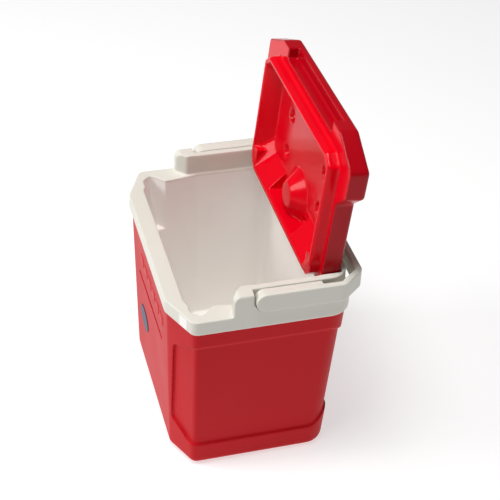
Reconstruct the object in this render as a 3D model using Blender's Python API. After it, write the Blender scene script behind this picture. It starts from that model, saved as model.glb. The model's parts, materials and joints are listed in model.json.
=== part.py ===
"""A small hard-sided cooler with a hinged lid, standing open, its carrying handle folded down behind it.

+X is the right-hand short end, -Y the front, +Y the hinge side and +Z up. The origin is on the floor,
under the middle of the rim's length. Everything is in metres.
"""

import math

import bmesh
import bpy
from mathutils import Matrix, Vector

# Driving dimensions of the rim, which everything else follows
RIM_LENGTH = 0.360
RIM_FRONT = -0.1205
RIM_REAR = 0.1255
FRONT_CHAMFER = Vector((0.057, 0.0260))
REAR_RADIUS = 0.032
COLLAR_BOTTOM = 0.2570
DECK = 0.2788
TOWER_TOP = 0.3115

# Walls and running gaps
WALL = 0.0022
THIN_WALL = 0.0019
GAP = 0.0004
CLEARANCE = 0.0015
CREASE = math.radians(35)
ARC_STEPS = 8

# How far the cutters reach past everything that they cut, and how far joined solids run into each other
ABOVE = 0.36
BEYOND = 0.30
ROOT = 0.005
SINK = 0.002
SLIVER = 0.0001

# Radii for corners that only need to be crisp, and how nearly an end fills half a circle
CRISP = 0.001
LEAST_ROUND = 0.0005
BAR_END = 0.999
BARREL_END = 0.99
RECESS_END = 0.98

# Outer body, from its foot to the lip that the collar laps over
BODY_TOP = COLLAR_BOTTOM + 0.007
LAP = 0.0034
BASE_HALF = 0.160
BASE_FRONT = -0.111
BASE_REAR = 0.109
BASE_CHAMFER = Vector((0.0480, 0.0233))
BASE_ROUND = 0.010
CORNER_ROUND = 0.012
PANEL_DEPTH = 0.0035
PANEL_START = 0.118
PANEL_BOTTOM = 0.040
PANEL_TOP = 0.229
COLLAR_EDGE = 0.001
RIM_TOP_ROUND = 0.003

# Towers beside and behind the lid
TOWER_FRONT = -0.0410
TOWER_INNER = 0.1560
TOWER_CORE = 0.1660
REAR_WALL_IN = 0.1113
REAR_WALL_OUT = 0.1206
TOWER_FOOT_ROUND = 0.009
TOWER_TOP_ROUND = 0.011
TOWER_CREST = 0.030
TOWER_CORNER_OUT = 0.013
TOWER_CORNER_BACK = 0.014
TOWER_CORNER_ROUND = 0.006
CORE_RADIUS = 0.026

# Inside of the liner
LINER_FLOOR = 0.024
LINER_DRAFT = 0.014
TUB_TOP = DECK - SINK
HOLLOW_STOP = 0.9 * THIN_WALL
EAR_LEDGE = 0.195
EAR_TAPER = 0.009

# Handle
PIVOT_Y = 0.0010
PIVOT_Z = 0.2995
ARM_HALF_HEIGHT = 0.0135
HANDLE_HALF = 0.185
HANDLE_REAR = 0.139
HANDLE_PLATE = 0.0090
HANDLE_CORNER = Vector((0.026, 0.031))
HANDLE_BEND = 0.012
RIB_STEP = 0.0015
RIB_END = 0.080
BOSS_RADIUS = 0.0090
BOSS_END = 0.1725

# Lid, with sizes given as it lies shut
LID_BOTTOM = DECK + 0.0010
LID_TOP = 0.3070
LID_ROUND = 0.005
LID_NARROW = TOWER_INNER - 0.0020
LID_SHOULDER = 0.0540
LID_SLANT = 0.024
LID_CHAMFER = FRONT_CHAMFER + Vector((0.0010, 0.0015))
HINGE_Y = 0.0953
HINGE_Z = 0.2932
BARREL = LID_TOP - HINGE_Z
OPEN_ANGLE = math.radians(95.5)
NOTCH_HALF = 0.0970
NOTCH_DEPTH = 0.0155
NOTCH_TOP = LID_BOTTOM + 0.0155
PLUG_BOTTOM = 0.2640
PLUG_HALF = 0.1450
PLUG_FRONT = -0.0925
PLUG_REAR = 0.0960
DISH_FLOOR = 0.2915
PLUG_FRONT_CORNER = Vector((0.018, 0.013))
PLUG_REAR_CORNER = 0.022
PLUG_EDGE = Vector((0.002, 0.004))
PLUG_ROUND = 0.006
DISH_EDGE = 0.007
DISH_REACH = 0.001
FOAM_STEP = 0.006
CAVITY_REAR = 0.0980
PIN_RADIUS = 0.0030
PIN_INNER = 0.1440
PIN_OUTER = 0.1640
PIN_END_GAP = 0.002
FOAM_PIN_GAP = 0.002
FOAM_PIN_INNER = PIN_INNER - 0.003

# Front face
GROOVE_HEIGHT = 0.1730
GROOVE_HALF = 0.0780
GROOVE_HALF_HEIGHT = 0.003
GROOVE_DEPTH = 0.0014
GROOVE_REACH = 0.01
DASHES = 6
DASH_PITCH = 0.026
DASH_MIDDLE = 0.018
DASH_HEIGHT = 0.2140
DASH_HALF = Vector((0.009, 0.007))
DASH_ROOT = 0.0015
DASH_PROUD = 0.0010
EMBLEM_X = -0.050
EMBLEM_Z = 0.104
EMBLEM_HALF_LENGTH = 0.026
EMBLEM_HALF_HEIGHT = 0.018
EMBLEM_PROUD = 0.0009
EMBLEM_SIDES = 32

COLOURS = {
    "body_red": ((0.62, 0.012, 0.030), 0.38),
    "lid_red": ((0.78, 0.006, 0.022), 0.30),
    "rim_white": ((0.82, 0.80, 0.76), 0.42),
    "foam": ((0.86, 0.82, 0.66), 0.90),
    "pin_steel": ((0.60, 0.60, 0.60), 0.30),
    "print": ((0.05, 0.35, 0.60), 0.45),
}


def clear_scene():
    for thing in list(bpy.data.objects):
        bpy.data.objects.remove(thing, do_unlink=True)


def new_collection(name):
    made = bpy.data.collections.new(name)
    bpy.context.scene.collection.children.link(made)
    return made


def new_material(name):
    colour, roughness = COLOURS[name]
    made = bpy.data.materials.new(name)
    made.use_nodes = True
    shader = made.node_tree.nodes["Principled BSDF"]
    shader.inputs["Base Color"].default_value = (*colour, 1)
    shader.inputs["Roughness"].default_value = roughness
    shader.inputs["Metallic"].default_value = 1.0 if name == "pin_steel" else 0.0
    made.diffuse_color = (*colour, 1)
    return made


def rounded(corners, steps=ARC_STEPS):
    """The outline through corners (x, y, radius), each corner an arc of steps + 1 points."""
    outline = []
    for i, (x, y, radius) in enumerate(corners):
        here = Vector((x, y))
        back = (Vector(corners[i - 1][:2]) - here).normalized()
        ahead = (Vector(corners[(i + 1) % len(corners)][:2]) - here).normalized()
        half = back.angle(ahead) / 2
        centre = here + (back + ahead).normalized() * radius / math.sin(half)
        start = here + back * radius / math.tan(half) - centre
        end = here + ahead * radius / math.tan(half) - centre
        sweep = start.angle_signed(end)
        for k in range(steps + 1):
            outline.append(centre + Matrix.Rotation(-sweep * k / steps, 2) @ start)
    return outline


def inset(corners, distance):
    """The same corners moved inwards, with their radii following."""
    moved = []
    for i, (x, y, radius) in enumerate(corners):
        here = Vector((x, y))
        before = (here - Vector(corners[i - 1][:2])).normalized()
        after = (Vector(corners[(i + 1) % len(corners)][:2]) - here).normalized()
        normals = Vector((-before.y, before.x)), Vector((-after.y, after.x))
        place = here + (normals[0] + normals[1]) * distance / (1 + normals[0].dot(normals[1]))
        turn = before.x * after.y - before.y * after.x
        change = -distance if turn > 0 else distance
        moved.append((place.x, place.y, max(radius + change, LEAST_ROUND)))
    return moved


def mirrored(right):
    """A full anticlockwise outline from the corners of its +X half, which run from front to rear."""
    return [*right, *[(-x, y, radius) for x, y, radius in reversed(right)]]


def level(corners, z, steps=ARC_STEPS):
    """A ring of points at one height."""
    return [Vector((p.x, p.y, z)) for p in rounded(corners, steps)]


def upright(corners, x, steps=4):
    """A ring of points in a plane across the X axis, from corners (y, z, radius)."""
    return [Vector((x, p.x, p.y)) for p in rounded(corners, steps)]


def loft(name, rings, collection, material=None):
    """A closed solid through rings with equal numbers of points."""
    shape = bmesh.new()
    loops = [[shape.verts.new(point) for point in ring] for ring in rings]
    for low, high in zip(loops, loops[1:]):
        for i, corner in enumerate(low):
            j = (i + 1) % len(low)
            shape.faces.new((corner, low[j], high[j], high[i]))
    shape.faces.new(reversed(loops[0]))
    shape.faces.new(loops[-1])
    return finished(name, shape, collection, material)


def rod(name, radius, x0, x1, y, z, collection, material=None, sides=32):
    """A round bar along X."""
    shape = bmesh.new()
    bmesh.ops.create_cone(
        shape, cap_ends=True, segments=sides, radius1=radius, radius2=radius, depth=abs(x1 - x0)
    )
    bmesh.ops.rotate(shape, verts=shape.verts, matrix=Matrix.Rotation(math.pi / 2, 3, "Y"))
    bmesh.ops.translate(shape, verts=shape.verts, vec=((x0 + x1) / 2, y, z))
    return finished(name, shape, collection, material)


def box(name, low, high, collection, material=None):
    """A block between two corners."""
    shape = bmesh.new()
    bmesh.ops.create_cube(shape, size=1)
    size = Vector(high) - Vector(low)
    bmesh.ops.scale(shape, verts=shape.verts, vec=size)
    bmesh.ops.translate(shape, verts=shape.verts, vec=Vector(low) + size / 2)
    return finished(name, shape, collection, material)


def finished(name, shape, collection, material):
    """The mesh as an object, a hidden wire one where it has no material of its own."""
    bmesh.ops.recalc_face_normals(shape, faces=shape.faces)
    mesh = bpy.data.meshes.new(name)
    shape.to_mesh(mesh)
    shape.free()
    mesh.shade_smooth()
    mesh.set_sharp_from_angle(angle=CREASE)
    made = bpy.data.objects.new(name, mesh)
    collection.objects.link(made)
    if material:
        mesh.materials.append(material)
    else:
        made.hide_render = True
        made.display_type = "WIRE"
    return made


def combine(target, operand, operation="DIFFERENCE"):
    step = target.modifiers.new(operand.name, "BOOLEAN")
    step.operation = operation
    step.solver = "EXACT"
    step.object = operand
    return target


def hang_on(pieces, empty):
    """Parent pieces to an empty, with their meshes in the closed lid's own coordinates."""
    for piece in pieces:
        piece.parent = empty
        piece.location = (0, -HINGE_Y, -HINGE_Z)


def body_corners(z):
    """The outer body's plan at a height: it widens evenly from its foot to its lip."""
    rise = z / BODY_TOP
    half = BASE_HALF + rise * (RIM_LENGTH / 2 - LAP - BASE_HALF)
    front = BASE_FRONT + rise * (RIM_FRONT + LAP - BASE_FRONT)
    rear = BASE_REAR + rise * (RIM_REAR - LAP - BASE_REAR)
    chamfer = BASE_CHAMFER.lerp(FRONT_CHAMFER, rise)
    return mirrored(
        [
            (half - chamfer.x, front, CORNER_ROUND),
            (half, front + chamfer.y, CORNER_ROUND),
            (half, rear, REAR_RADIUS - LAP),
        ]
    )


def body_loft(name, depth, top, collection, material=None):
    """The body's shape a depth inside its surface, rounded about its foot."""
    rings = []
    for step in range(4):
        turn = math.pi / 2 * step / 3
        z = depth + (BASE_ROUND - depth) * (1 - math.cos(turn))
        pull = depth + (BASE_ROUND - depth) * (1 - math.sin(turn))
        rings.append(level(inset(body_corners(z), pull), z))
    rings.append(level(inset(body_corners(top), depth), top))
    return loft(name, rings, collection, material)


def make_outer_body(parts, cutters, material):
    body = body_loft("outer_body", 0, BODY_TOP, parts, material)
    inside = body_loft("body_inside", WALL, ABOVE, cutters)
    cut_end_panels(inside, WALL, cutters)
    combine(body, inside)
    cut_end_panels(body, 0, cutters)
    add_front_relief(body, cutters)
    return body


def cut_end_panels(target, behind, cutters):
    """Cut a shallow panel on each short end, wrapping on to the front facet and the rear corner.

    The cut may follow the panel from behind, at a distance inside the outer surface.
    """
    edge = [
        (-0.1090, 0.062, 0.006),
        (-0.0920, PANEL_BOTTOM, 0.012),
        (0.0850, PANEL_BOTTOM, 0.016),
        (0.1400, 0.088, 0.006),
        (0.1400, 0.200, 0.006),
        (0.1000, PANEL_TOP, 0.012),
        (-0.0900, PANEL_TOP, 0.012),
        (-0.1090, 0.206, 0.008),
    ]
    edge = inset(edge, -behind)
    start = PANEL_START - behind
    floor = body_loft(f"{target.name}_panel_floor", PANEL_DEPTH + behind, ABOVE, cutters)
    for side in (-1, 1):
        ends = sorted((side * start, side * BEYOND))
        panel = loft(f"{target.name}_panel_{side}", [upright(edge, x) for x in ends], cutters)
        combine(target, combine(panel, floor))


def front_face(z):
    """The front face's Y at a height."""
    return BASE_FRONT + z / BODY_TOP * (RIM_FRONT + LAP - BASE_FRONT)


def front_block(name, x, z, half_width, half_height, depth, proud, cutters):
    """A block set into the front face by a depth, and standing out of it."""
    face = front_face(z)
    low = (x - half_width, face - proud, z - half_height)
    high = (x + half_width, face + depth, z + half_height)
    return box(name, low, high, cutters)


def add_front_relief(body, cutters):
    """A long groove across the front, with a row of plain raised dashes above it."""
    half = (GROOVE_HALF, GROOVE_HALF_HEIGHT)
    combine(body, front_block("groove", 0, GROOVE_HEIGHT, *half, GROOVE_DEPTH, GROOVE_REACH, cutters))
    for n in range(DASHES):
        x = DASH_MIDDLE + (n - (DASHES - 1) / 2) * DASH_PITCH
        dash = front_block(f"dash_{n}", x, DASH_HEIGHT, *DASH_HALF, DASH_ROOT, DASH_PROUD, cutters)
        combine(body, dash, "UNION")


def rim_corners():
    half = RIM_LENGTH / 2
    return mirrored(
        [
            (half - FRONT_CHAMFER.x, RIM_FRONT, CORNER_ROUND),
            (half, RIM_FRONT + FRONT_CHAMFER.y, CORNER_ROUND),
            (half, RIM_REAR, REAR_RADIUS),
        ]
    )


def liner_corners():
    """The mouth of the liner at deck height."""
    return mirrored(
        [
            (0.1310, -0.0965, 0.006),
            (0.1450, -0.0895, 0.006),
            (0.1490, -0.0480, 0.006),
            (0.1545, -0.0120, 0.015),
            (0.1545, 0.1060, 0.026),
        ]
    )


def liner_loft(name, outside, floor, top, collection, material=None):
    """The liner's tub, a distance outside its inner surface, narrowing towards its floor."""
    rings = []
    for z in (floor, top):
        draft = LINER_DRAFT * (DECK - z) / (DECK - LINER_FLOOR)
        rings.append(level(inset(liner_corners(), draft - outside), z))
    return loft(name, rings, collection, material)


def ear_loft(name, side, outside, floor, top, collection):
    """The upright pocket at a front corner of the mouth, a distance outside its inner surface.

    It leans in from the corner as it goes down, all of a piece, so that its sides stay flat.
    """
    rings = []
    for z in (floor, top):
        taper = EAR_TAPER * (DECK - z) / (DECK - EAR_LEDGE)
        corners = [
            (0.1250, -0.0925, 0.002),
            (0.1555 - taper, -0.0925, 0.006),
            (0.1655 - taper, -0.0815, 0.004),
            (0.1620 - taper, -0.0755, 0.003),
            (0.1480 - taper, -0.0615, 0.004),
            (0.1250, -0.0615, 0.002),
        ]
        corners = [(x, y + taper / 3, radius) for x, y, radius in inset(corners, -outside)]
        if side < 0:
            corners = [(-x, y, radius) for x, y, radius in reversed(corners)]
        rings.append(level(corners, z))
    return loft(name, rings, collection)


def stadium(front, half_height, rear=BEYOND):
    """A long bar's outline in Y and Z, its front end round about the handle's pivot."""
    return [
        (front, PIVOT_Z - half_height, half_height * BAR_END),
        (rear, PIVOT_Z - half_height, CRISP),
        (rear, PIVOT_Z + half_height, CRISP),
        (front, PIVOT_Z + half_height, half_height * BAR_END),
    ]


def make_liner_rim(parts, cutters, material):
    corners = rim_corners()
    foot = inset(corners, COLLAR_EDGE)
    rings = [level(foot, COLLAR_BOTTOM), level(corners, COLLAR_BOTTOM + COLLAR_EDGE)]
    for step in range(4):
        turn = math.pi / 2 * step / 3
        drop = RIM_TOP_ROUND * (1 - math.sin(turn))
        rings.append(level(inset(corners, RIM_TOP_ROUND * (1 - math.cos(turn))), TOWER_TOP - drop))
    rim = loft("liner_rim", rings, parts, material)
    combine(rim, tower_front_cut(cutters))
    combine(rim, lid_bay(cutters))
    combine(rim, arm_recess(cutters))
    combine(rim, collar_hollow(cutters))
    combine(rim, liner_loft("tub_outside", THIN_WALL, LINER_FLOOR - WALL, TUB_TOP, cutters), "UNION")
    for side in (-1, 1):
        shell = ear_loft(f"ear_outside_{side}", side, THIN_WALL, EAR_LEDGE - THIN_WALL, TUB_TOP, cutters)
        combine(rim, shell, "UNION")
        ends = sorted((side * (TOWER_CORE - ROOT), side * BOSS_END))
        combine(rim, rod(f"boss_{side}", BOSS_RADIUS, *ends, PIVOT_Y, PIVOT_Z, cutters), "UNION")
    combine(rim, liner_loft("tub_inside", 0, LINER_FLOOR, ABOVE, cutters))
    for side in (-1, 1):
        combine(rim, ear_loft(f"ear_inside_{side}", side, 0, EAR_LEDGE, ABOVE, cutters))
        ends = sorted((side * (TOWER_INNER - ROOT), side * (PIN_OUTER + GAP)))
        combine(rim, rod(f"pin_hole_{side}", PIN_RADIUS + GAP, *ends, HINGE_Y, HINGE_Z, cutters))
    return rim


def tower_front_cut(cutters):
    """All above the deck in front of the towers, flowing up into their round-topped fronts."""
    profile = [
        (-BEYOND, DECK, CRISP),
        (TOWER_FRONT, DECK, TOWER_FOOT_ROUND),
        (TOWER_FRONT, TOWER_TOP, TOWER_TOP_ROUND),
        (TOWER_FRONT + TOWER_CREST, TOWER_TOP + SINK, CRISP),
        (TOWER_FRONT + TOWER_CREST, ABOVE, CRISP),
        (-BEYOND, ABOVE, CRISP),
    ]
    return loft("tower_front_cut", [upright(profile, x, 5) for x in (-BEYOND, BEYOND)], cutters)


def lid_bay(cutters):
    """The space between the towers that the lid's narrow part lies in."""
    mouth = TOWER_FRONT - SLIVER
    corners = mirrored(
        [
            (BEYOND, -BEYOND, CRISP),
            (BEYOND, mouth, CRISP),
            (TOWER_INNER + TOWER_CORNER_OUT, mouth, TOWER_CORNER_ROUND),
            (TOWER_INNER, TOWER_FRONT + TOWER_CORNER_BACK, TOWER_CORNER_ROUND),
            (TOWER_INNER, REAR_WALL_IN, CRISP),
        ]
    )
    return loft("lid_bay", [level(corners, DECK), level(corners, ABOVE)], cutters)


def arm_recess(cutters):
    """The step outside the towers that the handle lies in, round at its front about the pivot."""
    reach = ARM_HALF_HEIGHT + CLEARANCE
    profile = [
        (PIVOT_Y - reach, PIVOT_Z - reach, reach * RECESS_END),
        (BEYOND, PIVOT_Z - reach, CRISP),
        (BEYOND, ABOVE, CRISP),
        (PIVOT_Y - reach, ABOVE, CRISP),
    ]
    recess = loft("arm_recess", [upright(profile, x, 8) for x in (-BEYOND, BEYOND)], cutters)
    core = mirrored([(TOWER_CORE, -BEYOND, CRISP), (TOWER_CORE, REAR_WALL_OUT, CORE_RADIUS)])
    return combine(recess, loft("tower_core", [level(core, EAR_LEDGE), level(core, ABOVE + GAP)], cutters))


def collar_hollow(cutters):
    """The hollow under the deck, which the foam rises into."""
    corners = inset(rim_corners(), WALL)
    hollow = loft("collar_hollow", [level(corners, EAR_LEDGE), level(corners, DECK - WALL)], cutters)
    combine(hollow, liner_loft("hollow_limit", HOLLOW_STOP, LINER_FLOOR, ABOVE, cutters))
    return hollow


def make_body_foam(parts, cutters, material):
    top = DECK - WALL - GAP
    foam = body_loft("body_foam", WALL + GAP, top, parts, material)
    tub = liner_loft("foam_tub", THIN_WALL + GAP, LINER_FLOOR - WALL - GAP, ABOVE, cutters)
    cut_end_panels(foam, WALL + GAP, cutters)
    combine(foam, tub)
    for side in (-1, 1):
        floor = EAR_LEDGE - THIN_WALL - GAP
        combine(foam, ear_loft(f"foam_ear_{side}", side, THIN_WALL + GAP, floor, ABOVE, cutters))
    return foam


def make_handle(parts, cutters, material):
    """A flat U with thicker ends that snap over the bosses on the towers."""
    start = PIVOT_Y - BEYOND
    outside = mirrored(
        [
            (HANDLE_HALF, start, CRISP),
            (HANDLE_HALF, HANDLE_REAR - HANDLE_CORNER.y, HANDLE_BEND),
            (HANDLE_HALF - HANDLE_CORNER.x, HANDLE_REAR, HANDLE_BEND),
        ]
    )
    span = (PIVOT_Z - 2 * ARM_HALF_HEIGHT, PIVOT_Z + 2 * ARM_HALF_HEIGHT)
    handle = loft("bail_handle", [level(outside, z) for z in span], parts, material)
    inside = inset(outside, HANDLE_PLATE)
    combine(handle, loft("handle_inside", [level(inside, z) for z in (EAR_LEDGE, ABOVE)], cutters))
    for side in (-1, 1):
        ends = sorted((side * (TOWER_CORE + CLEARANCE), side * (HANDLE_HALF - HANDLE_PLATE / 2)))
        rib = stadium(PIVOT_Y - ARM_HALF_HEIGHT + RIB_STEP, ARM_HALF_HEIGHT - RIB_STEP, RIB_END)
        combine(handle, loft(f"rib_{side}", [upright(rib, x, 8) for x in ends], cutters), "UNION")
    bar = stadium(PIVOT_Y - ARM_HALF_HEIGHT, ARM_HALF_HEIGHT)
    limit = loft("handle_limit", [upright(bar, x, 10) for x in (-BEYOND, BEYOND)], cutters)
    combine(handle, limit, "INTERSECT")
    for side in (-1, 1):
        ends = sorted((side * (TOWER_CORE - ROOT), side * (BOSS_END + GAP)))
        combine(handle, rod(f"socket_{side}", BOSS_RADIUS + GAP, *ends, PIVOT_Y, PIVOT_Z, cutters))
    return handle


def lid_corners():
    half = RIM_LENGTH / 2
    return mirrored(
        [
            (half - LID_CHAMFER.x, RIM_FRONT, 0.008),
            (half, RIM_FRONT + LID_CHAMFER.y, 0.008),
            (half, -LID_SHOULDER, 0.005),
            (LID_NARROW, -LID_SHOULDER + LID_SLANT, 0.006),
            (LID_NARROW, HINGE_Y + BARREL, 0.002),
        ]
    )


def lid_cavity_corners(depth):
    corners = inset(lid_corners(), depth)
    rear = CAVITY_REAR - (depth - THIN_WALL)
    return [(x, min(y, rear), radius) for x, y, radius in corners]


def barrel_limit(cutters):
    """The lid's side profile, its rear end a half round about the hinge so that it can turn."""
    profile = [
        (-BEYOND, HINGE_Z - BARREL, CRISP),
        (HINGE_Y + BARREL, HINGE_Z - BARREL, BARREL * BARREL_END),
        (HINGE_Y + BARREL, LID_TOP, BARREL * BARREL_END),
        (-BEYOND, LID_TOP, CRISP),
    ]
    return loft("barrel_limit", [upright(profile, x, 8) for x in (-BEYOND, BEYOND)], cutters)


def make_lid_shell(parts, cutters, material):
    corners = lid_corners()
    rings = [level(corners, LID_BOTTOM)]
    for step in range(4):
        turn = math.pi / 2 * step / 3
        drop = LID_ROUND * (1 - math.sin(turn))
        rings.append(level(inset(corners, LID_ROUND * (1 - math.cos(turn))), LID_TOP - drop))
    shell = loft("lid_shell", rings, parts, material)
    barrel = barrel_limit(cutters)
    hollow = lid_cavity_corners(THIN_WALL)
    cavity = loft("lid_cavity", [level(hollow, EAR_LEDGE), level(hollow, LID_TOP - THIN_WALL)], cutters)
    block = notch_block("notch_wall", THIN_WALL, cutters)
    combine(shell, barrel, "INTERSECT")
    combine(shell, combine(cavity, block))
    notch = notch_block("notch", 0, cutters)
    combine(shell, notch)
    holes = []
    for side in (-1, 1):
        ends = sorted((side * (PIN_INNER - PIN_END_GAP), side * BEYOND))
        holes.append(rod(f"lid_pin_hole_{side}", PIN_RADIUS + GAP, *ends, HINGE_Y, HINGE_Z, cutters))
        combine(shell, holes[-1])
    return [shell, barrel, cavity, block, notch, *holes]


def notch_block(name, outside, cutters):
    """The finger notch under the lid's front edge, a distance outside its surface."""
    low = (-NOTCH_HALF - outside, -BEYOND, EAR_LEDGE)
    high = (NOTCH_HALF + outside, RIM_FRONT + NOTCH_DEPTH + outside, NOTCH_TOP + outside)
    return box(name, low, high, cutters)


def plug_corners():
    return mirrored(
        [
            (PLUG_HALF - PLUG_FRONT_CORNER.x, PLUG_FRONT, PLUG_ROUND),
            (PLUG_HALF, PLUG_FRONT + PLUG_FRONT_CORNER.y, PLUG_ROUND),
            (PLUG_HALF, PLUG_REAR - PLUG_REAR_CORNER, PLUG_ROUND),
            (PLUG_HALF - PLUG_REAR_CORNER, PLUG_REAR, PLUG_ROUND),
        ]
    )


def dish_loft(name, outside, crest, floor, cutters):
    """The hollow in the lid's underside, its sides sloping in to a flat floor."""
    mouth = inset(plug_corners(), DISH_EDGE - outside)
    bed = mirrored(
        [
            (0.1080, -0.0780, PLUG_ROUND),
            (0.1250, -0.0660, PLUG_ROUND),
            (0.1250, 0.0400, PLUG_ROUND),
            (0.1080, 0.0560, PLUG_ROUND),
        ]
    )
    return loft(name, [level(mouth, crest), level(inset(bed, -outside), floor)], cutters)


def make_lid_liner(parts, cutters, material):
    flange = lid_cavity_corners(THIN_WALL + GAP)
    rings = [level(flange, LID_BOTTOM), level(flange, LID_BOTTOM + THIN_WALL)]
    liner = loft("lid_liner", rings, parts, material)
    plug = plug_corners()
    low = inset(plug, PLUG_EDGE.x)
    top = LID_BOTTOM + 0.8 * THIN_WALL
    rings = [level(low, PLUG_BOTTOM), level(plug, PLUG_BOTTOM + PLUG_EDGE.y), level(plug, top)]
    plug_outside = loft("plug_outside", rings, cutters)
    crest = PLUG_BOTTOM + DISH_REACH
    dish_outside = dish_loft("dish_outside", THIN_WALL, crest, DISH_FLOOR + THIN_WALL, cutters)
    core = inset(plug, THIN_WALL)
    rings = [level(core, PLUG_BOTTOM + THIN_WALL), level(core, ABOVE)]
    foam_space = combine(loft("plug_foam_space", rings, cutters), dish_outside)
    dish = dish_loft("dish_inside", 0, PLUG_BOTTOM - DISH_REACH, DISH_FLOOR, cutters)
    block = notch_block("liner_notch", THIN_WALL + GAP, cutters)
    combine(liner, plug_outside, "UNION")
    combine(liner, dish_outside, "UNION")
    combine(liner, foam_space)
    combine(liner, dish)
    combine(liner, block)
    return [liner, plug_outside, dish_outside, foam_space, dish, block]


def make_lid_foam(parts, cutters, material):
    corners = lid_cavity_corners(THIN_WALL + GAP)
    rings = [level(corners, LID_BOTTOM + THIN_WALL + GAP), level(corners, LID_TOP - THIN_WALL - GAP)]
    foam = loft("lid_foam", rings, parts, material)
    core = inset(plug_corners(), THIN_WALL + GAP)
    rings = [level(core, PLUG_BOTTOM + THIN_WALL + GAP), level(core, LID_BOTTOM + FOAM_STEP)]
    ring = loft("foam_ring", rings, cutters)
    crest = PLUG_BOTTOM + 2 * DISH_REACH
    dish = dish_loft("foam_dish", THIN_WALL + GAP, crest, DISH_FLOOR + THIN_WALL + GAP, cutters)
    block = notch_block("foam_notch", THIN_WALL + GAP, cutters)
    combine(foam, ring, "UNION")
    combine(foam, dish)
    combine(foam, block)
    holes = []
    for side in (-1, 1):
        ends = sorted((side * FOAM_PIN_INNER, side * BEYOND))
        holes.append(rod(f"foam_pin_{side}", PIN_RADIUS + FOAM_PIN_GAP, *ends, HINGE_Y, HINGE_Z, cutters))
        combine(foam, holes[-1])
    return [foam, ring, dish, block, *holes]


def make_hinge_pins(parts, material):
    for side, name in ((-1, "hinge_pin_left"), (1, "hinge_pin_right")):
        ends = sorted((side * PIN_INNER, side * PIN_OUTER))
        rod(name, PIN_RADIUS, *ends, HINGE_Y, HINGE_Z, parts, material, 24)


def make_front_emblem(parts, material):
    """A plain oval label on the front face."""
    rings = []
    for lift in (EMBLEM_PROUD, GAP):
        ring = []
        for n in range(EMBLEM_SIDES):
            turn = 2 * math.pi * n / EMBLEM_SIDES
            x = EMBLEM_X + EMBLEM_HALF_LENGTH * math.cos(turn)
            z = EMBLEM_Z + EMBLEM_HALF_HEIGHT * math.sin(turn)
            ring.append(Vector((x, front_face(z) - lift, z)))
        rings.append(ring)
    loft("front_emblem", rings, parts, material)


def main():
    clear_scene()
    parts = new_collection("cooler")
    cutters = new_collection("cutters")
    materials = {name: new_material(name) for name in COLOURS}
    make_outer_body(parts, cutters, materials["body_red"])
    make_body_foam(parts, cutters, materials["foam"])
    make_liner_rim(parts, cutters, materials["rim_white"])
    make_hinge_pins(parts, materials["pin_steel"])
    make_front_emblem(parts, materials["print"])
    lid = make_lid_shell(parts, cutters, materials["lid_red"])
    lid += make_lid_liner(parts, cutters, materials["lid_red"])
    lid += make_lid_foam(parts, cutters, materials["foam"])
    lid_axis = bpy.data.objects.new("lid_axis", None)
    parts.objects.link(lid_axis)
    lid_axis.location = (0, HINGE_Y, HINGE_Z)
    lid_axis.rotation_euler.x = -OPEN_ANGLE
    hang_on(lid, lid_axis)
    handle = make_handle(parts, cutters, materials["rim_white"])
    handle_axis = bpy.data.objects.new("handle_axis", None)
    parts.objects.link(handle_axis)
    handle_axis.location = (0, PIVOT_Y, PIVOT_Z)
    handle.parent = handle_axis
    handle.location = (0, -PIVOT_Y, -PIVOT_Z)


main()
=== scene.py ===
"""The looks of the small hard cooler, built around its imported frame. Metres, +Z up, the frame's own axes."""

import json
import math

import bmesh
import bpy
from mathutils import Matrix, Vector


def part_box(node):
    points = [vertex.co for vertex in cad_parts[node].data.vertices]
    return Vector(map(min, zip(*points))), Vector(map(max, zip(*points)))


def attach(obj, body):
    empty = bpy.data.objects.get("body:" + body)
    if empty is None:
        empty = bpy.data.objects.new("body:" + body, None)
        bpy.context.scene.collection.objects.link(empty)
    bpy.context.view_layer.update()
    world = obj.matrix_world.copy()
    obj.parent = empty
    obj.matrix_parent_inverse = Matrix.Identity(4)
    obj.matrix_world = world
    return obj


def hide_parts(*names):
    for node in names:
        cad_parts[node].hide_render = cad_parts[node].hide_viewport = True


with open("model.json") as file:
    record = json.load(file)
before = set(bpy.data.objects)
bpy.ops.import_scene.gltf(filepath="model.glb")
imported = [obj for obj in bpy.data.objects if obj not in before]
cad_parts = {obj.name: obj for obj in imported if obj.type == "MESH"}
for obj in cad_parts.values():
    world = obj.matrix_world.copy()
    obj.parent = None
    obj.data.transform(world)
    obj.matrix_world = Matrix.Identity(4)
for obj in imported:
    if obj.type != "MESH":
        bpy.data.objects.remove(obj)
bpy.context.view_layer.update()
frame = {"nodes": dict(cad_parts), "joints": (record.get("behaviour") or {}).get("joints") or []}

# Fineness of the moulded surfaces: the grids they are remade on, and how many times they are eased
GRID = 0.0011
FINE_GRID = 0.0009
BODY_EASING = 26
RIM_EASING = 9
LID_EASING = 16
GAP_CLOSING = 0.00035
MOST_FACES = 190_000
RELIEF_SHARE = 0.95
EASING_FACTOR = 0.5
WELD = 1e-6
CREASE = math.radians(40)

# The sockets of a Mix node that carry colours
MIX_FIRST = 6
MIX_SECOND = 7
MIX_RESULT = 2

# Plastic: pigment clouds, patches of gloss and the mould's grain, per metre and in metres
CLOUD_SCALE = 7
GLOSS_SCALE = 14
GRAIN_SCALE = 1700
GRAIN_DEPTH = 0.00006
# Which part of each noise, and of the edges' sharpness, changes the plastic, and by how much
CLOUD_SPAN = (0.30, 0.72)
GLOSS_SPAN = (0.3, 0.7)
GLOSS_RANGE = (-0.02, 0.03)
EDGE_SPAN = (0.53, 0.62)
EDGE_WEAR = 0.35

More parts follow.
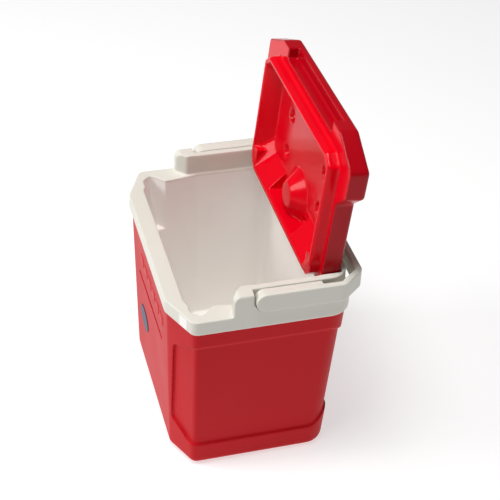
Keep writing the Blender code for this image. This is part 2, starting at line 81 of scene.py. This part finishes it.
# Steel: patches of stain and the marks of drawing, per metre
STAIN_SCALE = 160
DRAWING_SCALE = 5200
DRAWING_STRETCH = (0.04, 1, 1)
DRAWING_STRENGTH = 0.25
STAIN_SPAN = (0.35, 0.70)
POLISH_RANGE = (-0.06, 0.10)
STAINED = (0.46, 0.45, 0.44)

# The inside of the liner, given a paler colour as painted light: how far in from the rim's outline, how far
# below the towers' tops, and over what distance the painted light sets in
INSIDE_MARGIN = 0.0125
TOWER_HEIGHT = 0.0345
INSIDE_FADE = 0.002

# The shadow gap that the body leaves under the collar
COLLAR_BOTTOM = 0.2570
GAP_HEIGHT = 0.0018
GAP_DEPTH = 0.0014
# The frame that cuts it reaches this many times as far out as the rim
GAP_REACH = 2

# Relief on the body's front face
GROOVE_HEIGHT = 0.1730
GROOVE_HALF = 0.0780
GROOVE_HALF_HEIGHT = 0.0030
GROOVE_DEPTH = 0.0014
RELIEF_CLEAR = 0.010
DASH_HEIGHT = 0.2140
DASH_MIDDLE = 0.018
DASHES = 6
DASH_PITCH = 0.026
DASH_SIZE = (0.018, 0.0020, 0.014)
DASH_ROUND = 0.0006
DASH_ROUND_STEPS = 3
ROUND_PROFILE = 0.5

# Underside of the lid, as it lies shut
DISH_DEPTH = 0.0275
DIMPLES = [(-0.074, -0.027), (0.074, -0.027), (-0.074, 0.032), (0.074, 0.032)]
DIMPLE_RADIUS = 0.0112
DIMPLE_TIP = 0.0045
DIMPLE_DEPTH = 0.0070
PLUG_CORNER = [(0.122, 0.060), (0.145, 0.060), (0.145, 0.083), (0.132, 0.096), (0.122, 0.096)]
PLUG_LIFT = 0.0015
PLUG_CORNER_HEIGHT = 0.0160
SLOTS = [(-0.036, 0.076), (0.036, 0.076)]
SLOT_RADIUS = 0.0046
SLOT_TIP = 0.0036
RECESS_HALF = 0.056
RECESS_FRONT = 0.050
RECESS_REAR = 0.0845
BOSS = (0.0, 0.056)
BOSS_HEIGHT = 0.0190
BOSS_TOP = 0.0180
BOSS_FOOT = 0.0395

# The lid's tools: how far they pass the face they open, and how much a grown one deepens the recess
CONE_SEGMENTS = 48
OVERCUT = 0.001
RECESS_SINK = 1 / 9

# The lid's skin over its foam, and the parting of its two mouldings
SKIN = 0.0018
FLANGE_LEVEL = 0.0168
SEAM = 0.0004
PARTING_BELOW = 0.010
PARTING_ABOVE = 0.0040

# Camera
CAMERA_PLACE = Vector((1.404, -0.3911, 1.3522))
CAMERA_YAW = -0.2913
CAMERA_PITCH = 0.6262
CAMERA_ROLL = 0.0454
LENS = 92.85
SHIFT = (-0.0019, -0.0537)
SENSOR = 36

# Studio: area lights as place, size and power, and a pale floor that glows a little
KEY_LIGHT = ((-0.4, -2.1, 1.7), 1.0, 32)
TOP_LIGHT = ((0.25, -0.35, 2.4), 0.8, 34)
LIGHT_TARGET = Vector((0, 0, 0.2))
FLOOR_HALF = 60
FLOOR_LEVEL = -0.0005
FLOOR_ALBEDO = 0.55
FLOOR_ROUGHNESS = 0.9
FLOOR_GLOW = 0.60
WORLD_STRENGTH = 0.14

# How the lid stands open
HINGE = Vector(frame["joints"][0]["pos_m"])
OPEN_ANGLE = math.radians(frame["joints"][0]["range_deg"][1])
OPENED = Matrix.Translation(HINGE) @ Matrix.Rotation(-OPEN_ANGLE, 4, "X") @ Matrix.Translation(-HINGE)


def new_material(name, colour, roughness):
    made = bpy.data.materials.new(name)
    made.use_nodes = True
    shader = made.node_tree.nodes["Principled BSDF"]
    shader.inputs["Base Color"].default_value = (*colour, 1)
    shader.inputs["Roughness"].default_value = roughness
    return made


def wire(material, giver, output, taker, socket):
    """Link one node's output to another's input."""
    material.node_tree.links.new(giver.outputs[output], taker.inputs[socket])


def add_node(material, kind, **values):
    made = material.node_tree.nodes.new(kind)
    for key, value in values.items():
        setattr(made, key, value)
    return made


def noise(material, scale, detail, roughness=0.5):
    """A noise texture in the object's own metres."""
    place = add_node(material, "ShaderNodeTexCoord")
    made = add_node(material, "ShaderNodeTexNoise")
    made.inputs["Scale"].default_value = scale
    made.inputs["Detail"].default_value = detail
    made.inputs["Roughness"].default_value = roughness
    wire(material, place, "Object", made, "Vector")
    return made


def ramp(material, giver, span, low=0, high=1, output=0):
    """Map a span of a value on to another range."""
    made = add_node(material, "ShaderNodeMapRange")
    for socket, value in zip(("From Min", "From Max", "To Min", "To Max"), (*span, low, high)):
        made.inputs[socket].default_value = value
    wire(material, giver, output, made, "Value")
    return made


def mix_colour(material, factor, first, second):
    """Mix two colours by a factor."""
    made = add_node(material, "ShaderNodeMix", data_type="RGBA")
    made.inputs[MIX_FIRST].default_value = (*first, 1)
    made.inputs[MIX_SECOND].default_value = (*second, 1)
    wire(material, factor, 0, made, "Factor")
    return made


def add_bump(material, height, strength):
    bump = add_node(material, "ShaderNodeBump")
    bump.inputs["Strength"].default_value = strength
    bump.inputs["Distance"].default_value = GRAIN_DEPTH
    wire(material, height, 0, bump, "Height")
    wire(material, bump, "Normal", material.node_tree.nodes["Principled BSDF"], "Normal")


def moulded_plastic(name, colour, faded, worn, roughness, grain, gloss_level):
    """Injection-moulded plastic: a fine grain, cloudy pigment, uneven gloss and edges worn paler."""
    made = new_material(name, colour, roughness)
    shader = made.node_tree.nodes["Principled BSDF"]
    pigment = mix_colour(made, ramp(made, noise(made, CLOUD_SCALE, 2), CLOUD_SPAN), colour, faded)
    shape = add_node(made, "ShaderNodeNewGeometry")
    edge = ramp(made, shape, EDGE_SPAN, 0, EDGE_WEAR, "Pointiness")
    rubbed = mix_colour(made, edge, colour, worn)
    wire(made, pigment, MIX_RESULT, rubbed, MIX_FIRST)
    wire(made, rubbed, MIX_RESULT, shader, "Base Color")
    gloss = [roughness + step for step in GLOSS_RANGE]
    wire(made, ramp(made, noise(made, GLOSS_SCALE, 2), GLOSS_SPAN, *gloss), 0, shader, "Roughness")
    add_bump(made, noise(made, GRAIN_SCALE, 1), grain)
    shader.inputs["Specular IOR Level"].default_value = gloss_level
    return made


def drawn_steel(name, colour, roughness):
    """Bare steel wire with fine drawing marks along it and an uneven polish."""
    made = new_material(name, colour, roughness)
    shader = made.node_tree.nodes["Principled BSDF"]
    shader.inputs["Metallic"].default_value = 1
    stain = mix_colour(made, ramp(made, noise(made, STAIN_SCALE, 3), STAIN_SPAN), colour, STAINED)
    wire(made, stain, MIX_RESULT, shader, "Base Color")
    polish = [roughness + step for step in POLISH_RANGE]
    wire(made, ramp(made, noise(made, STAIN_SCALE, 2), GLOSS_SPAN, *polish), 0, shader, "Roughness")
    marks = noise(made, DRAWING_SCALE, 2)
    along = add_node(made, "ShaderNodeMapping")
    along.inputs["Scale"].default_value = DRAWING_STRETCH
    place = marks.inputs["Vector"].links[0].from_socket
    made.node_tree.links.new(place, along.inputs["Vector"])
    wire(made, along, "Vector", marks, "Vector")
    add_bump(made, marks, DRAWING_STRENGTH)
    return made


def add_object(name, data):
    made = bpy.data.objects.new(name, data)
    bpy.context.scene.collection.objects.link(made)
    return made


def object_from(name, shape):
    """An object from a bmesh, which is freed."""
    mesh = bpy.data.meshes.new(name)
    shape.to_mesh(mesh)
    shape.free()
    return add_object(name, mesh)


def from_cad(node, *steps):
    """A copy of a CAD node's mesh with Booleans, given as (tool, operation), run on it in turn."""
    piece = add_object(node + "_source", frame["nodes"][node].data.copy())
    weld(piece.data)
    for tool, operation in steps:
        add_boolean(piece, tool, operation)
    apply_modifiers(piece)
    return piece


def add_boolean(piece, tool, operation):
    step = piece.modifiers.new(tool.name, "BOOLEAN")
    step.operation = operation
    step.solver = "EXACT"
    step.object = tool


def weld(mesh):
    shape = bmesh.new()
    shape.from_mesh(mesh)
    bmesh.ops.remove_doubles(shape, verts=shape.verts, dist=WELD)
    shape.to_mesh(mesh)
    shape.free()


def apply_modifiers(piece):
    ready = piece.evaluated_get(bpy.context.evaluated_depsgraph_get())
    mesh = bpy.data.meshes.new_from_object(ready)
    piece.modifiers.clear()
    piece.data = mesh


def joined(name, pieces):
    """One object holding the meshes of several, which are removed."""
    shape = bmesh.new()
    for piece in pieces:
        shape.from_mesh(piece.data)
        bpy.data.objects.remove(piece)
    return object_from(name, shape)


def displace(piece, distance):
    step = piece.modifiers.new("displace", "DISPLACE")
    step.strength = distance
    step.mid_level = 0


def remake(piece, grid, easing, close=0):
    """Remake a solid on a fine even grid with eased edges, closing gaps up to about twice close."""
    if close:
        displace(piece, close)
    remesh = piece.modifiers.new("remesh", "REMESH")
    remesh.mode = "VOXEL"
    remesh.voxel_size = grid
    if close:
        displace(piece, -close)
    ease = piece.modifiers.new("ease", "SMOOTH")
    ease.factor = EASING_FACTOR
    ease.iterations = easing
    apply_modifiers(piece)


def thin_out(piece, share=1.0):
    """Fewer faces, where there are more than a share of the most that a piece should have."""
    faces = 2 * len(piece.data.polygons)
    if faces > share * MOST_FACES:
        thin = piece.modifiers.new("thin", "DECIMATE")
        thin.ratio = share * MOST_FACES / faces
        apply_modifiers(piece)


def dress(piece, name, body, slot, material, *nodes):
    """Name, shade and colour a finished skin, and put it in place of its CAD nodes."""
    piece.name = name
    piece.data.materials.clear()
    piece.data.materials.append(material)
    piece.data.shade_smooth()
    piece.data.set_sharp_from_angle(angle=CREASE)
    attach(piece, body)
    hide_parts(*nodes)


def outline(node, level, place=Matrix()):
    """The outermost ring of points where a CAD node, put in place, crosses one level."""
    shape = bmesh.new()
    shape.from_mesh(frame["nodes"][node].data)
    bmesh.ops.remove_doubles(shape, verts=shape.verts, dist=WELD)
    shape.transform(place)
    geometry = shape.verts[:] + shape.edges[:] + shape.faces[:]
    plane = {"plane_co": (0, 0, level), "plane_no": (0, 0, 1)}
    bmesh.ops.bisect_plane(shape, geom=geometry, clear_inner=True, clear_outer=True, **plane)
    ring = [max(shape.verts, key=lambda v: v.co.x)]
    while True:
        ahead = [edge.other_vert(ring[-1]) for edge in ring[-1].link_edges]
        ahead = [vert for vert in ahead if vert not in ring[-2:] and vert is not ring[0]]
        if not ahead:
            break
        ring.append(ahead[0])
    points = [vert.co.copy() for vert in ring]
    shape.free()
    return points


def prism(ring, low, high):
    """An upright prism through a ring of points."""
    shape = bmesh.new()
    floor = [shape.verts.new((point.x, point.y, low)) for point in ring]
    roof = [shape.verts.new((point.x, point.y, high)) for point in ring]
    for i in range(len(ring)):
        shape.faces.new((floor[i - 1], floor[i], roof[i], roof[i - 1]))
    shape.faces.new(floor)
    shape.faces.new(roof)
    bmesh.ops.recalc_face_normals(shape, faces=shape.faces)
    return shape


def lid_tool(name, shape):
    """An object from a shape made for the shut lid, turned open with it."""
    shape.transform(OPENED)
    return object_from(name, shape)


def lid_cone(name, place, low, high):
    """A cone between two levels (z, radius), for the shut lid."""
    shape = bmesh.new()
    bmesh.ops.create_cone(
        shape,
        cap_ends=True,
        segments=CONE_SEGMENTS,
        radius1=low[1],
        radius2=high[1],
        depth=high[0] - low[0],
    )
    bmesh.ops.translate(shape, verts=shape.verts, vec=(*place, (low[0] + high[0]) / 2))
    return lid_tool(name, shape)


def pit_tools(name, floor, grow):
    """Tools for the dimples, the slots and the recess behind the boss, grown by a distance."""
    tools = []
    for radius, tip, places in (
        (DIMPLE_RADIUS, DIMPLE_TIP, DIMPLES),
        (SLOT_RADIUS, SLOT_TIP, SLOTS),
    ):
        for n, place in enumerate(places):
            low = (floor - OVERCUT, radius + grow)
            high = (floor + DIMPLE_DEPTH + grow, tip + grow)
            tools.append(lid_cone(f"{name}_{radius}_{n}", place, low, high))
    half = RECESS_HALF + grow
    rear = RECESS_REAR + grow
    corners = [(-half, RECESS_FRONT), (half, RECESS_FRONT), (half, rear), (-half, rear)]
    ring = [Vector((x, y, 0)) for x, y in corners]
    recess = prism(ring, floor - DISH_DEPTH - OVERCUT, floor + grow * RECESS_SINK)
    tools.append(lid_tool(f"{name}_recess", recess))
    return tools


def on_front(body, x, z):
    """The point of the plain front face at a place and height, found from just above and just below."""
    above = body.ray_cast((x, -1, z + RELIEF_CLEAR), (0, 1, 0))[1]
    below = body.ray_cast((x, -1, z - RELIEF_CLEAR), (0, 1, 0))[1]
    return (above + below) / 2


def groove_tool(body):
    """A square bar sunk a little way into the front face, less than the wall's thickness."""
    shape = bmesh.new()
    bar = bmesh.ops.create_cube(shape, size=2)["verts"]
    bmesh.ops.scale(shape, verts=bar, vec=(GROOVE_HALF, GROOVE_DEPTH, GROOVE_HALF_HEIGHT))
    bmesh.ops.translate(shape, verts=bar, vec=on_front(body, 0, GROOVE_HEIGHT))
    return object_from("groove", shape)


def dashes_tool(body):
    """A row of plain rounded pads standing out of the front face."""
    shape = bmesh.new()
    for n in range(DASHES):
        place = on_front(body, DASH_MIDDLE + (n - (DASHES - 1) / 2) * DASH_PITCH, DASH_HEIGHT)
        pad = bmesh.ops.create_cube(shape, size=1)["verts"]
        bmesh.ops.scale(shape, verts=pad, vec=DASH_SIZE)
        bmesh.ops.translate(shape, verts=pad, vec=place)
    bmesh.ops.bevel(
        shape,
        geom=shape.edges[:],
        offset=DASH_ROUND,
        segments=DASH_ROUND_STEPS,
        profile=ROUND_PROFILE,
        affect="EDGES",
    )
    return object_from("dashes", shape)


def collar_gap_tool():
    """A thin frame round the body, just under the collar, that bites a little way into its side."""
    core = object_from("core", prism(outline("outer_body", COLLAR_BOTTOM), 0, 1))
    displace(core, -GAP_DEPTH * math.sqrt(2))
    apply_modifiers(core)
    reach = Vector(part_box("liner_rim")[1]) * GAP_REACH
    ring = [Vector((x * reach.x, y * reach.y, 0)) for x, y in ((-1, -1), (1, -1), (1, 1), (-1, 1))]
    around = object_from("around", prism(ring, COLLAR_BOTTOM - GAP_HEIGHT, COLLAR_BOTTOM))
    add_boolean(around, core, "DIFFERENCE")
    apply_modifiers(around)
    bpy.data.objects.remove(core)
    return around


def make_body():
    body = from_cad("outer_body")
    remake(body, GRID, BODY_EASING)
    thin_out(body, RELIEF_SHARE)
    bpy.context.view_layer.update()
    for tool, operation in (
        (groove_tool(body), "DIFFERENCE"),
        (collar_gap_tool(), "DIFFERENCE"),
        (dashes_tool(body), "UNION"),
    ):
        add_boolean(body, tool, operation)
        apply_modifiers(body)
        bpy.data.objects.remove(tool)
    dress(body, "outer_body_skin", "base", "body_red", BODY_RED, "outer_body")


def make_rim():
    rim = from_cad("liner_rim")
    remake(rim, GRID, RIM_EASING)
    thin_out(rim)
    dress(rim, "liner_rim_skin", "base", "rim_white", RIM_WHITE, "liner_rim")


def make_handle():
    handle = from_cad("bail_handle")
    remake(handle, FINE_GRID, RIM_EASING)
    thin_out(handle)
    dress(handle, "bail_handle_skin", "handle", "rim_white", RIM_WHITE, "bail_handle")


def plug_corners(bottom):
    """Solids that fill out the rear corners of the lid's plug, above its bottom."""
    corners = []
    for side in (-1, 1):
        ring = [Vector((side * x, y, 0)) for x, y in PLUG_CORNER]
        solid = prism(ring, bottom + PLUG_LIFT, bottom + PLUG_CORNER_HEIGHT)
        corners.append(lid_tool(f"plug_corner_{side}", solid))
    return corners


def parting_tool(bottom, top):
    """A solid within the outline of the liner's flange, smaller than it by a seam."""
    ring = outline("lid_liner", bottom + FLANGE_LEVEL, OPENED.inverted())
    parting = lid_tool("parting", prism(ring, bottom - PARTING_BELOW, top))
    displace(parting, -SEAM)
    apply_modifiers(parting)
    return parting


def part_lid(lid, parting):
    """Share the lid's hollow skin out between its two mouldings."""
    # The shell takes the darker copy of the lid's red as painted shade; the liner keeps the lid's own red
    for node, operation, red in (
        ("lid_shell", "DIFFERENCE", SHELL_PAINTED_SHADE_RED),
        ("lid_liner", "INTERSECT", LID_RED),
    ):
        part = add_object(node + "_skin", lid.data.copy())
        add_boolean(part, parting, operation)
        apply_modifiers(part)
        thin_out(part)
        dress(part, node + "_skin", "lid", "lid_red", red, node)


def make_lid():
    """The lid's two mouldings, parted along the edge of the liner's flange, round a foam filling."""
    shut = [OPENED.inverted() @ v.co for v in frame["nodes"]["lid_liner"].data.vertices]
    bottom = min(point.z for point in shut)
    floor = bottom + DISH_DEPTH
    boss = lid_cone("boss", BOSS, (floor - BOSS_HEIGHT, BOSS_TOP), (floor + OVERCUT, BOSS_FOOT))
    pits = pit_tools("pit", floor, 0)
    clearances = pit_tools("clearance", floor, SKIN)
    *carve, recess = [(tool, "DIFFERENCE") for tool in pits]
    corners = plug_corners(bottom)
    filled = [(tool, "UNION") for tool in (*corners, boss)]
    liner = from_cad("lid_liner", recess, *filled, *carve)
    lid = joined("lid", [from_cad("lid_shell"), liner, from_cad("lid_foam", recess, *carve)])
    remake(lid, GRID, LID_EASING, GAP_CLOSING)
    foam = from_cad("lid_foam", *[(tool, "DIFFERENCE") for tool in clearances])
    add_boolean(lid, foam, "DIFFERENCE")
    apply_modifiers(lid)
    parting = parting_tool(bottom, floor + DIMPLE_DEPTH + PARTING_ABOVE)
    part_lid(lid, parting)
    dress(foam, "lid_foam_block", "lid", "foam", FOAM, "lid_foam")
    for tool in (*pits, *clearances, *corners, boss, parting, lid):
        bpy.data.objects.remove(tool)


def paint_light_inside(material, painted_light_colour, low, high):
    """Painted light: a paler colour on surfaces between two corners, the liner's inside, standing in for light
    falling there.
    """
    shader = material.node_tree.nodes["Principled BSDF"]
    outer = shader.inputs["Base Color"].links[0].from_socket
    place = add_node(material, "ShaderNodeTexCoord")
    above = add_node(material, "ShaderNodeVectorMath", operation="SUBTRACT")
    below = add_node(material, "ShaderNodeVectorMath", operation="SUBTRACT")
    above.inputs[1].default_value = low
    below.inputs[0].default_value = high
    wire(material, place, "Object", above, 0)
    wire(material, place, "Object", below, 1)
    nearest = add_node(material, "ShaderNodeVectorMath", operation="MINIMUM")
    wire(material, above, 0, nearest, 0)
    wire(material, below, 0, nearest, 1)
    parts = add_node(material, "ShaderNodeSeparateXYZ")
    wire(material, nearest, 0, parts, 0)
    least = add_node(material, "ShaderNodeMath", operation="MINIMUM")
    wire(material, parts, 0, least, 0)
    wire(material, parts, 1, least, 1)
    margin = add_node(material, "ShaderNodeMath", operation="MINIMUM")
    wire(material, least, 0, margin, 0)
    wire(material, parts, 2, margin, 1)
    inside = ramp(material, margin, (0, INSIDE_FADE))
    chosen = mix_colour(material, inside, painted_light_colour, painted_light_colour)
    material.node_tree.links.new(outer, chosen.inputs[MIX_FIRST])
    wire(material, chosen, MIX_RESULT, shader, "Base Color")


def make_camera():
    forward = Vector(
        (
            -math.cos(CAMERA_PITCH) * math.cos(CAMERA_YAW),
            -math.cos(CAMERA_PITCH) * math.sin(CAMERA_YAW),
            -math.sin(CAMERA_PITCH),
        )
    )
    camera = add_object("camera", bpy.data.cameras.new("camera"))
    turn = forward.to_track_quat("-Z", "Y").to_matrix().to_4x4() @ Matrix.Rotation(CAMERA_ROLL, 4, "Z")
    camera.matrix_world = Matrix.Translation(CAMERA_PLACE) @ turn
    camera.data.sensor_width = SENSOR
    camera.data.lens = LENS
    camera.data.shift_x, camera.data.shift_y = SHIFT
    bpy.context.scene.camera = camera


def make_light(name, place, size, power):
    lamp = bpy.data.lights.new(name, "AREA")
    lamp.shape = "SQUARE"
    lamp.size = size
    lamp.energy = power
    holder = add_object(name, lamp)
    holder.location = place
    holder.rotation_euler = (LIGHT_TARGET - Vector(place)).to_track_quat("-Z", "Y").to_euler()


def make_stage():
    shape = bmesh.new()
    bmesh.ops.create_grid(shape, x_segments=1, y_segments=1, size=FLOOR_HALF)
    floor = object_from("floor", shape)
    floor.location.z = FLOOR_LEVEL
    white = new_material("floor_white", (FLOOR_ALBEDO,) * 3, FLOOR_ROUGHNESS)
    shader = white.node_tree.nodes["Principled BSDF"]
    shader.inputs["Emission Color"].default_value = (1, 1, 1, 1)
    shader.inputs["Emission Strength"].default_value = FLOOR_GLOW
    floor.data.materials.append(white)
    world = bpy.data.worlds.new("studio")
    world.use_nodes = True
    backdrop = world.node_tree.nodes["Background"]
    backdrop.inputs["Color"].default_value = (1, 1, 1, 1)
    backdrop.inputs["Strength"].default_value = WORLD_STRENGTH
    bpy.context.scene.world = world
    bpy.context.scene.view_settings.view_transform = "Standard"
    make_light("key", *KEY_LIGHT)
    make_light("top", *TOP_LIGHT)


make_camera()
make_stage()
BODY_RED = moulded_plastic(
    "body_plastic",
    colour=(0.56, 0.002, 0.008),
    faded=(0.59, 0.005, 0.012),
    worn=(0.70, 0.05, 0.06),
    roughness=0.46,
    grain=0.30,
    gloss_level=0.13,
)
LID_RED = moulded_plastic(
    "lid_plastic",
    colour=(0.68, 0.000, 0.009),
    faded=(0.71, 0.001, 0.011),
    worn=(0.82, 0.03, 0.04),
    roughness=0.15,
    grain=0.06,
    gloss_level=0.15,
)
# Painted shade: the lid's outer shell is a darker copy of the lid's red, standing in for shade on its skirt
SHELL_PAINTED_SHADE_RED = moulded_plastic(
    "shell_painted_shade_plastic",
    colour=(0.41, 0.000, 0.006),
    faded=(0.44, 0.001, 0.008),
    worn=(0.60, 0.02, 0.03),
    roughness=0.22,
    grain=0.10,
    gloss_level=0.20,
)
RIM_WHITE = moulded_plastic(
    "rim_plastic",
    colour=(0.735, 0.720, 0.650),
    faded=(0.71, 0.69, 0.61),
    worn=(0.80, 0.79, 0.74),
    roughness=0.38,
    grain=0.25,
    gloss_level=0.30,
)
FOAM = moulded_plastic(
    "foam_cells",
    colour=(0.86, 0.82, 0.66),
    faded=(0.78, 0.72, 0.52),
    worn=(0.90, 0.87, 0.74),
    roughness=0.85,
    grain=1.0,
    gloss_level=0.35,
)
PRINT_INK = moulded_plastic(
    "print_ink",
    colour=(0.012, 0.035, 0.09),
    faded=(0.016, 0.045, 0.11),
    worn=(0.05, 0.10, 0.18),
    roughness=0.45,
    grain=0.20,
    gloss_level=0.35,
)
STEEL = drawn_steel("pin_metal", colour=(0.60, 0.60, 0.62), roughness=0.30)

rim_low, rim_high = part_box("liner_rim")
# Painted light: the liner's inside gets a paler colour, as though lit more brightly
paint_light_inside(
    RIM_WHITE,
    painted_light_colour=(0.95, 0.930, 0.890),
    low=(rim_low[0] + INSIDE_MARGIN, rim_low[1] + INSIDE_MARGIN, 0),
    high=(rim_high[0] - INSIDE_MARGIN, rim_high[1] - INSIDE_MARGIN, rim_high[2] - TOWER_HEIGHT),
)

make_body()
make_rim()
make_handle()
make_lid()
for node, material in (
    ("body_foam", FOAM),
    ("hinge_pin_left", STEEL),
    ("hinge_pin_right", STEEL),
    ("front_emblem", PRINT_INK),
):
    frame["nodes"][node].data.materials.clear()
    frame["nodes"][node].data.materials.append(material)
